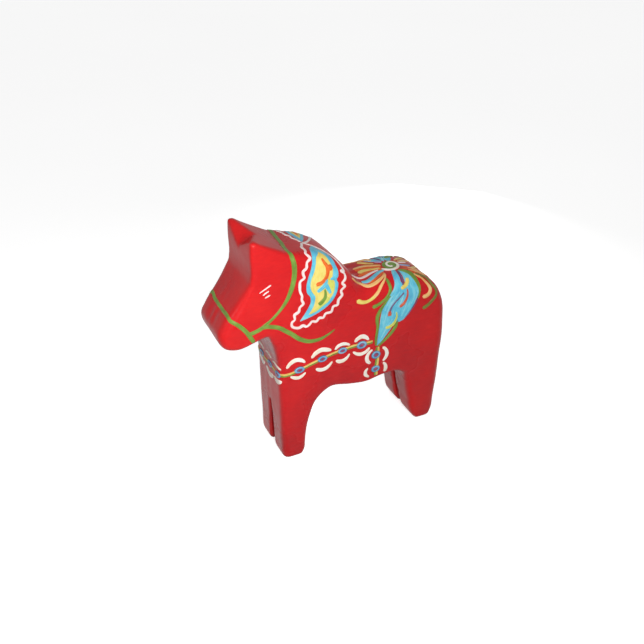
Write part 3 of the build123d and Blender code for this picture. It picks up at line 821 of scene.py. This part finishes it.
# Rays round the rosette seen from above: paint, layer, how drawn out the two ends are, points.
ORANGE_RAYS = [
    (ORANGE, 0, 1, 2, [
        (31.2, 0.1, 2.2), (27.5, 0.8, 3), (23.5, 1.6, 3.2), (19.5, 1.9, 2.8), (16.8, 1.6, 1.5),
    ]),
    (ORANGE, 0, 1, 2, [
        (30.6, -1.8, 1.8), (27, -2.4, 2.3), (23.5, -2.5, 2.6), (20, -3, 2.5), (16, -4, 1.5),
    ]),
    (ORANGE, 0, 1, 2, [(29.6, -6, 1.4), (25, -8.2, 2.2), (21, -10.2, 2.2), (17.2, -11.5, 1.6)]),
    (RUST, 0, 1, 1, [(31, 2.6, 1.4), (26, 4.9, 2.2), (23.4, 8.2, 2.2), (22.6, 12, 1.8)]),
    (ORANGE, 1, 2, 2, [(39.4, -6.1, 0.9), (41.9, -6.4, 1.4), (43.8, -8, 1.4), (46, -9.9, 1)]),
    (ORANGE, 0, 2, 2, [(41.5, -3.2, 1.2), (46, -4.6, 1.8), (51, -6.6, 1.8), (55, -8.6, 1.2)]),
    (RUST, 0, 2, 2, [(42.4, -8.6, 1.2), (45, -9.9, 1.6), (48.5, -10.4, 1.4)]),
    (RUST, 0, 2, 2, [(42.5, -0.2, 1), (47.5, -0.2, 1.6), (52.5, 1.4, 1.2)]),
    (RUST, 0, 2, 2, [(41.6, 3.6, 1.2), (46, 5.6, 1.6), (50.5, 8.6, 1.2)]),
]
YELLOW_RAYS = [
    (YELLOW, 2, 2, 1, [
        (29.6, -1.4, 0.9), (27, -1.3, 1.3), (24.2, -0.8, 1.7), (20.8, -0.2, 2.4), (17.3, -1.2, 2.9),
    ]),
    (OCHRE, 1, 2, 2, [(45.4, -5.4, 1), (49, -3.2, 2), (52.4, -1, 1.4)]),
    (OCHRE, 0, 2, 1, [(40.8, 3.9, 1.2), (44, 6, 2), (48.6, 9, 1.8)]),
    (OCHRE, 1, 2, 1, [(29, 4, 1.2), (26.4, 5.8, 1.8), (24, 7.5, 2), (21.8, 9.6, 1.8)]),
]
WHITE_RAYS = [
    (WHITE, 2, 2, 2, [
        (28, -3, 0.7), (24.6, -3.8, 1.1), (22.4, -4.4, 1.3), (19.1, -5.6, 1.5), (15.7, -6.1, 1.5),
        (13.5, -4.7, 1.4), (11.9, -3.5, 1),
    ]),
    (WHITE, 2, 2, 2, [(41.3, 0.6, 0.9), (43.8, 1.3, 1.4), (46.8, 1.7, 1)]),
    (PALE_BLUE, 3, 2, 2, [(35.1, 4.2, 0.8), (35.4, 6.6, 1), (35.6, 9.2, 1)]),
]
BLUE_RAYS = [
    (BLUE, 1, 2, 1, [
        (30.6, -4.3, 1.5), (28.3, -4.7, 2), (24.3, -6.8, 2.4), (20.5, -9.1, 2.5), (17.2, -10.3, 2.4),
        (14.6, -9.7, 1.7),
    ]),
    (BLUE, 1, 1, 1, [(33.4, 4.4, 2), (31.2, 7, 2.8), (28.4, 9, 3), (25.8, 11.2, 2.4)]),
    (LILAC, 3, 2, 1, [(33.4, 3.6, 1.1), (32, 5, 1.6), (30, 5.8, 1.4)]),
    (PLUM, 3, 2, 2, [(34, 5.6, 0.9), (32.8, 7.6, 1.3), (31.2, 9.6, 1.1)]),
    (BLUE, 1, 1, 1, [(37.8, 4, 3.2), (38.2, 7.6, 5), (38.4, 12, 5.6)]),
    (LILAC, 1, 2, 2, [(40.7, -1.5, 1.2), (43.3, -2, 2), (47.4, -1.9, 1.4)]),
]
PEACH_RAYS = [
    (PEACH, 1, 2, 1, [
        (31.4, 0.9, 1), (27.5, 2.4, 1.5), (23.7, 3.7, 1.8), (20.3, 4, 1.8), (16.6, 3.5, 1.5),
    ]),
    (PEACH, 1, 2, 2, [(41.6, 2, 1.2), (45.9, 3.8, 2.1), (50.6, 5.6, 1.8)]),
    (PEACH, 1, 2, 2, [(42.6, -7.2, 1), (45.5, -8.1, 1.6), (48.4, -8.8, 1.6), (51.4, -10.2, 1.1)]),
    (PEACH, 1, 2, 2, [(43, -11, 0.8), (45.6, -11.4, 1.2), (48.4, -11.3, 1.2), (51.6, -10.8, 0.8)]),
    (PEACH, 1, 2, 2, [(44, -4.2, 0.8), (48, -6.6, 1.2), (53, -8.8, 1)]),
]


def saddle_rays():
    for colour, rays in (
        ("orange", ORANGE_RAYS),
        ("yellow", YELLOW_RAYS),
        ("white", WHITE_RAYS),
        ("blue", BLUE_RAYS),
        ("peach", PEACH_RAYS),
    ):
        film = Film("saddle_ray_" + colour)
        for paint, layer, start, end, points in rays:
            film.stroke(above(*points), paint, layer, start, end)
        if colour == "peach":
            film.pair(peach_sweep(), PEACH, layer=2, start=2, end=2)
        film.piece(colour, "saddle_rays_" + colour)


def peach_sweep():
    """The long ray that runs forward and down over the withers."""
    return above((29.4, -7.2, 0.9), (27, -9.6, 1.4), (24.3, -11.2, 1.8), (20.2, -12.7, 2),
                 (16.6, -13, 1.9)) + left((13.2, 93.4, 1.7), (10.3, 95.7, 1.4), (7.6, 99, 0.9))


def flank_strokes():
    yellow_stroke = above((29.2, -8.4, 0.7), (26.6, -12, 1.1)) + left(
        (23.6, 91, 1.6), (20.8, 88.6, 1.8), (18.4, 86.8, 1.9), (16, 85.7, 1.8), (13.6, 85.3, 2),
        (11, 86, 2.4), (8.9, 87.4, 2.6))
    green_stroke = above((27.8, -11, 1.4)) + left(
        (28.1, 91.3, 1.7), (28.2, 89, 1.8), (26.9, 86.3, 1.8), (24.4, 83.8, 1.8), (21, 82, 2),
        (17.6, 81.1, 2.5))
    rump_peach = above((45.3, -12, 0.8), (47.6, -12.7, 1.1)) + left(
        (49.6, 86.8, 1.4), (51, 84.9, 1.7), (51.7, 83, 2), (51, 81, 2.3), (49.2, 79.8, 2.4),
        (47, 79.7, 2.4))
    rump_green = above((44.8, -10.9, 0.9), (48.3, -11.4, 1.3), (51.4, -11.9, 1.6)) + left(
        (53.7, 84, 1.7), (55.2, 81.8, 1.6), (55.4, 79.2, 1.7), (53.2, 76.4, 1.9), (50, 73.9, 2.2),
        (47.2, 72.7, 2.4))
    over_yellow = yellow_stroke[:5]
    for place, colour, path, paint in (
        ("flank", "yellow", yellow_stroke, YELLOW),
        ("flank", "green", green_stroke, GREEN),
        ("rump", "peach", rump_peach, PEACH),
        ("rump", "green", rump_green, OLIVE),
    ):
        film = Film(place + "_" + colour)
        film.pair(path, paint, layer=3, start=3)
        if paint is YELLOW:
            film.pair(over_yellow, PEACH, layer=4, start=3, end=3)
        film.piece(colour, *both(place + "_stroke_" + colour))


def saddle_leaf():
    main_front = above((34.4, -4.8), (32.6, -8.4), (31.6, -12.4)) + left(
        (31.4, 91.4), (30, 88.6), (27.5, 86), (25.5, 83), (24, 80), (23, 77), (22.3, 73),
        (22, 69.6), (21.5, 66), (21, 62), (20.5, 57.4))
    main_rear = above((35.8, -4.8), (35.4, -9), (35.2, -13)) + left(
        (35, 91), (36.6, 88), (37.4, 84.4), (36.4, 79), (34.4, 73.6), (32.4, 69.2),
        (30.6, 67.6), (28.5, 65), (26, 62), (23.4, 59.2), (21, 57.2))
    lobe_front = above((36.8, -7.6), (37, -10.5), (37, -13.5)) + left(
        (37, 91), (36, 87.5), (35, 83), (33.6, 78), (32.4, 73), (32.6, 68.8))
    lobe_rear = above((38.4, -7.6), (40.8, -10.6), (42.6, -13.4)) + left(
        (43.4, 89.2), (44.7, 86), (44.6, 82.2), (43, 78.5), (41, 75), (38.6, 71.8),
        (36, 69), (33, 68.2))
    streaks = [
        left((39.8, 88.4, 0.7), (41.4, 85.4, 1.2), (41.8, 81.6, 1.3), (40.2, 77.2, 0.8)),
        left((43.7, 84.8, 0.7), (43.8, 82.4, 1), (42.4, 79.2, 0.8)),
        left((37.6, 79, 0.6), (36.6, 75.4, 1.1), (34.2, 71.2, 0.7)),
        left((33.4, 86.6, 0.7), (31.2, 83.2, 1.2), (27.4, 78.4, 1.2), (25.2, 72.6, 1), (23.8, 66.4, 0.6)),
        left((29.8, 85.6, 0.6), (26.8, 81.6, 1), (24.6, 77, 0.8)),
        left((35.6, 84.2, 0.6), (34.6, 80.8, 1.1), (32.2, 76.8, 0.7)),
        left((29.6, 71.6, 0.6), (26.2, 66.6, 1), (22.9, 61, 0.6)),
    ]
    film = Film("saddle_leaf")
    for side in (this_side, other_side):
        film.leaf(side(main_front), side(main_rear), BLUE, layer=1)
        film.leaf(side(lobe_front), side(lobe_rear), BLUE, layer=2)
        for streak in streaks:
            film.stroke(side(streak), PALE_BLUE, layer=3, start=2, end=2)
    film.piece("blue", *both("saddle_leaf"))


def saddle_leaf_edges():
    edges = [
        left((28, 85.6, 0.7), (24.6, 81.4, 1.5), (22.1, 78, 2.1), (20.8, 75, 2.3), (20.6, 72, 2.1),
             (20.9, 69, 1.7), (20.6, 65.6, 1.5), (20, 61.4, 1.4), (20.1, 57.2, 1.1)),
        left((32.4, 69.2, 1.2), (31.6, 66.6, 2), (29.6, 63.6, 1.9), (27, 61, 1.7), (24, 58.7, 1.5),
             (21.2, 56.6, 0.9)),
        above((36.8, -7.2, 1.4), (39.3, -8.5, 2.8), (41.8, -10.4, 3.2), (43.2, -12.6, 2.8)) + left(
            (44, 88.8, 2.4), (44.9, 86, 1.9), (45, 82.6, 1.2), (44.2, 79.4, 0.7)),
    ]
    gap = above((36.2, -7.4, 0.6), (36.1, -10.4, 1), (36, -13, 1.2)) + left(
        (35.9, 90.4, 1.2), (35.4, 87.8, 0.5))
    outline = left((44.6, 80.6, 0.4), (43, 77.4, 0.6), (40.6, 74, 0.6), (37.8, 70.9, 0.6), (34.6, 68.5, 0.5))
    film = Film("saddle_leaf_edge")
    for edge in edges:
        film.pair(edge, GREEN, layer=3, start=2, end=2)
    for line in (outline, gap):
        film.pair(line, PLUM, layer=3, start=2, end=2)
    film.piece("green", *both("saddle_leaf_edges"))


def saddle_leaf_teardrops():
    line = left((36, 85.4, 0.8), (33, 82.7, 0.8), (30, 80, 0.9), (28.3, 77.5, 1), (27.8, 75.4, 1))
    drop = left((27.8, 76.6, 1), (27.7, 74.8, 2.2), (27.7, 73.2, 2.6))
    curl = left((37.5, 87.2, 0.8), (37.9, 84.2, 1.1), (37.3, 81.2, 1.6), (35.6, 78.6, 2), (33.2, 77.3, 2))
    film = Film("saddle_teardrop")
    for side in (this_side, other_side):
        film.stroke(side(line), PLUM, layer=4, start=2, end=2)
        film.stroke(side(drop), BRICK, layer=5)
        film.stroke(side(curl), BRICK, layer=4, start=3)
    film.piece("crimson", *both("saddle_leaf_teardrops"))


def saddle_leaf_accents():
    upper = left((34, 87.6, 1.8), (36.5, 88.4, 2.3), (38.5, 90, 2.3), (39, 91.4, 1.8))
    lower = left((25.3, 66.8, 1.8), (28, 67, 1.9), (30, 68.1, 1.6), (31.4, 70.4, 1.2), (31.9, 73, 0.9),
                 (31.5, 75, 0.7))
    film = Film("saddle_accent")
    for side in (this_side, other_side):
        film.stroke(side(upper), YELLOW, layer=5)
        film.stroke(side(lower), LIME, layer=5, end=3)
    film.piece("yellow", *both("saddle_leaf_accents"))


# ---- breast band and girth ----

# Beads: u, v, and the two radii of the blue ring.
SIDE_BEADS = [
    (-23.4, 55.4, 2.7, 1.95), (-10.6, 58.3, 2.6, 1.95), (0.7, 60, 2.5, 1.85), (11.8, 60.2, 2.8, 2.3),
]
CHEST_BEADS = [(-13, 53.9, 2.6, 1.9), (-3.4, 54.6, 2.8, 1.9), (7.8, 54.6, 2.8, 1.9)]
GIRTH_BEADS = [(20.2, 51.7, 2.5, 2.5), (20.1, 42.8, 2.4, 2.1)]
OUTLINE = 1.1  # the dark line round a bead, as a share of the ring
HUB = 0.64  # the dark middle of a bead, as a share of the ring
SPOT = 0.34  # the red spot in the middle
PETAL_END = 1.3  # how far the ends of a petal are drawn out
BAND_SIDE = [
    (-33, 54.2), (-28, 54.4), (-23, 55.4), (-17, 57), (-11, 58.3), (-5, 59.6), (1, 60.3), (7, 60.8),
    (12, 60.5), (18.4, 60.4),
]
BAND_FRONT_HEIGHT = 54.2
GIRTH_LINE = [(21, 56.4), (21, 49.5), (20.8, 46.5), (20.3, 43), (20.3, 38.4)]
# The stems are two strokes side by side: shift, width, paint, layer.
BAND_STEMS = [(-0.45, 1.2, GREEN, 1), (0.35, 1.1, OCHRE, 2)]
GIRTH_STEMS = [(-0.35, 1.3, GREEN, 1), (0.55, 1.3, OCHRE, 2)]
SIDE_PETALS = [
    [(-30.4, 58.2, 1.5), (-28.2, 60.6, 2.3), (-25, 61.8, 2.5), (-22, 60.8, 2.1), (-20, 58.9, 1)],
    [(-16.6, 60.4, 1.6), (-14.4, 62.6, 2.5), (-11, 63.8, 2.8), (-7.6, 63, 2.3), (-5.4, 62, 1.2)],
    [(-3.6, 61.6, 1.2), (-1.6, 63.4, 2), (1, 63.9, 2.1), (3.4, 63.2, 1.6), (5.2, 62.1, 0.9)],
    [(7.7, 63, 1.7), (9.6, 64.6, 2.4), (12, 65.3, 2.6), (14.4, 64, 2.2), (16, 62, 1)],
    [(-28.5, 52.8, 1), (-26.4, 51.5, 1.9), (-23.6, 50.8, 2), (-21.4, 51.8, 1.5), (-20, 53, 0.8)],
    [(-14.4, 53.2, 1.7), (-12, 51.9, 2.2), (-9, 51.8, 2.2), (-6.6, 53.2, 1.7), (-5, 55.2, 0.8)],
    [(-3, 55, 1.6), (-1, 53.8, 2.3), (1.6, 53.8, 2.3), (3.6, 55.2, 1.6), (4.9, 57, 0.8)],
    [(6.8, 57.4, 1), (8.8, 55.6, 1.8), (11.4, 54.6, 2.1), (14.4, 55.4, 2), (16.6, 57.3, 1.2)],
]
CHEST_PETALS = [
    [(-15.4, 57.6, 1), (-12.6, 58.8, 1.5), (-9.4, 59.2, 1.2), (-7.2, 58.4, 0.8)],
    [(-5.8, 59.4, 0.8), (-3.4, 60.4, 1.5), (-0.6, 60.4, 1.5), (1.8, 59.4, 0.9)],
    [(4.4, 58.8, 0.8), (7.4, 60, 1.6), (10.8, 59.4, 1.6), (13.6, 57.8, 0.9)],
    [(-15.4, 50.6, 1.6), (-13.2, 49.3, 2.9), (-10.6, 49.2, 2.7), (-8.6, 50.4, 1.6)],
    [(-7.4, 49.6, 1.8), (-4.6, 48, 3), (-0.8, 47.9, 3), (2.2, 50, 1.8)],
    [(4.2, 50.6, 1.6), (7, 49.4, 2.9), (9.8, 50.8, 2.9), (12.4, 54, 1.7)],
]
GIRTH_PETALS = [
    [(18.2, 55.6, 1), (16, 53.8, 1.8), (14.9, 51.2, 2.3), (15.4, 48.8, 2.2), (17.2, 47, 1.5)],
    [(24.2, 55.4, 1.4), (26, 53.4, 1.9), (26.8, 50.8, 2.2), (26.2, 48.4, 1.9), (24.4, 46.4, 1.1)],
    [(15.6, 44.6, 0.8), (14.2, 42.9, 1.8), (14.2, 40.8, 2.1), (16.4, 38.6, 1)],
    [(24.6, 45.6, 1), (26, 43.4, 2), (26.2, 41.2, 2.2), (25.3, 39.2, 1.6)],
]


def petals(name, marks, replaced, chest_marks=()):
    film = Film(name)
    for mark in marks:
        film.pair(left(*mark), CREAM, layer=1, start=PETAL_END, end=PETAL_END)
    for mark in chest_marks:
        film.stroke(ahead(*mark), CREAM, layer=1, start=PETAL_END, end=PETAL_END)
    film.piece("white", *replaced)


def band():
    film = Film("band_stem")
    for shift, width, paint, layer in BAND_STEMS:
        side = left(*[(x, z + shift, width) for x, z in BAND_SIDE])
        chest = ahead(*[(y, BAND_FRONT_HEIGHT + shift, width) for y in (-12, -6, 0, 6, 12)])
        film.stroke(list(reversed(side)) + chest + other_side(side), paint, layer)
    film.piece("ochre", "breast_band_stem")
    petals("band_petal", SIDE_PETALS, ["breast_band_petals"], CHEST_PETALS)


def girth():
    film = Film("girth_stem")
    for shift, width, paint, layer in GIRTH_STEMS:
        film.pair(left(*[(x + shift, z, width) for x, z in GIRTH_LINE]), paint, layer)
    film.piece("ochre", *both("girth_stem"))
    petals("girth_petal", GIRTH_PETALS, both("girth_petals"))


def bead(rings, hubs, centre, long, high):
    rings.disc(centre, long * OUTLINE, high * OUTLINE, DEEP_BLUE, layer=2)
    rings.disc(centre, long, high, BEAD_BLUE, layer=3)
    hubs.disc(centre, long * HUB, high * HUB, PLUM, layer=4)
    hubs.disc(centre, long * SPOT, high * SPOT, CRIMSON, layer=5)


def beads(name, places, ring_nodes, core_nodes, chest_places=()):
    rings = Film(name)
    hubs = Film(name + "_core")
    rise = Vector((0, 0, MM))
    for x, z, long, high in places:
        near = left((x, z))
        for path in (near, other_side(near)):
            bead(rings, hubs, path[0][0], Vector((MM, 0, 0)) * long, rise * high)
    for y, z, long, high in chest_places:
        bead(rings, hubs, ahead((y, z))[0][0], Vector((0, MM, 0)) * long, rise * high)
    rings.piece("blue", *ring_nodes)
    hubs.piece("crimson", *core_nodes)


noseband()
cheek_strap()
reins()
eye_ticks()
mane_border()
mane_leaf()
mane_fill()
mane_details()
rosette()
saddle_rays()
flank_strokes()
saddle_leaf()
saddle_leaf_edges()
saddle_leaf_teardrops()
saddle_leaf_accents()
band()
beads("band_bead", SIDE_BEADS, ["breast_band_beads"], ["breast_band_bead_cores"], CHEST_BEADS)
beads("girth_bead", GIRTH_BEADS, both("girth_beads"), both("girth_bead_cores"))
girth()


# ---- floor, light and camera ----

FLOOR_HALF = 3.0  # metres from the middle to each edge
FLOOR_CELLS = 12


def floor():
    mesh = bpy.data.meshes.new("floor")
    grid = bmesh.new()
    bmesh.ops.create_grid(grid, x_segments=FLOOR_CELLS, y_segments=FLOOR_CELLS, size=FLOOR_HALF)
    grid.to_mesh(mesh)
    grid.free()
    item = placed("floor", mesh)
    item.location.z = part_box("carved_body")[0].z
    item.visible_diffuse = False
    mesh.materials.append(soft_floor())


def softbox(name, place, aim, size, power, spread, mirrored=True):
    """A round soft lamp at place, facing aim, both in millimetres; mirrored shows it in the gloss."""
    place = Vector(place) * MM
    aim = Vector(aim) * MM
    lamp = bpy.data.lights.new(name, "AREA")
    lamp.shape = "DISK"
    lamp.size = size
    lamp.energy = power
    lamp.spread = math.radians(spread)
    item = placed(name, lamp)
    item.location = place
    item.rotation_mode = "QUATERNION"
    item.rotation_quaternion = (aim - place).to_track_quat("-Z", "Y")
    item.visible_camera = False
    item.visible_glossy = mirrored


HORIZON = (-0.1, 0.2)  # the light from around fades out between these heights of the sky
FROM_BELOW = 0.15  # share of it that is left below them


def surroundings(fill, seen):
    """White surroundings: fill is the light they shed from above, seen how bright they are in the gloss."""
    world = bpy.data.worlds.new("studio")
    world.use_nodes = True
    tree = world.node_tree
    background = tree.nodes["Background"]
    background.inputs["Color"].default_value = (1, 1, 1, 1)
    split = tree.nodes.new("ShaderNodeSeparateXYZ")
    tree.links.new(tree.nodes.new("ShaderNodeTexCoord").outputs["Generated"], split.inputs["Vector"])
    from_above = span_node(tree, split.outputs["Z"], *HORIZON, fill * FROM_BELOW, fill)
    path = tree.nodes.new("ShaderNodeLightPath")
    shed = math_node(tree, "MULTIPLY", path.outputs["Is Diffuse Ray"], from_above)
    in_gloss = math_node(tree, "MULTIPLY", path.outputs["Is Glossy Ray"], seen)
    on_things = math_node(tree, "ADD", shed, in_gloss)
    strength = math_node(tree, "ADD", on_things, path.outputs["Is Camera Ray"])
    tree.links.new(strength, background.inputs["Strength"])
    bpy.context.scene.world = world


# Degrees: round from straight at the horse's left side, minus towards its head; up; and the roll.
CAMERA_AZIMUTH = -24.26
CAMERA_ELEVATION = 31.80
CAMERA_ROLL = -1.13
CAMERA_DISTANCE = 446.0 * MM
CAMERA_AIM = Vector((-3.0, 0, 69.1)) * MM
CAMERA_LENS = 48.09
CAMERA_SENSOR = 36
CAMERA_NEAR = 10 * MM  # nothing nearer than this is drawn


def camera():
    a, e, r = (math.radians(angle) for angle in (CAMERA_AZIMUTH, CAMERA_ELEVATION, CAMERA_ROLL))
    back = Vector((math.sin(a) * math.cos(e), -math.cos(a) * math.cos(e), math.sin(e)))
    right = (-back).cross(Vector((0, 0, 1))).normalized()
    up = right.cross(-back)
    turned_right = right * math.cos(r) + up * math.sin(r)
    turned_up = up * math.cos(r) - right * math.sin(r)
    matrix = Matrix((turned_right, turned_up, back)).transposed().to_4x4()
    matrix.translation = CAMERA_AIM + back * CAMERA_DISTANCE
    data = bpy.data.cameras.new("camera")
    data.lens = CAMERA_LENS
    data.sensor_width = CAMERA_SENSOR
    data.clip_start = CAMERA_NEAR
    item = placed("camera", data)
    item.matrix_world = matrix
    bpy.context.scene.camera = item


floor()
softbox("key", (-74, -256, 190), aim=(-80, -16, 105), size=0.16, power=0.42, spread=130)
softbox("front", (-210, -70, 215), aim=(-50, -4, 85), size=0.12, power=0.045, spread=120)
softbox("rear", (230, 260, 70), aim=(10, 10, 60), size=0.16, power=0.20, spread=130, mirrored=False)
surroundings(fill=0.30, seen=0.52)
camera()
bpy.context.scene.view_settings.view_transform = "Standard"
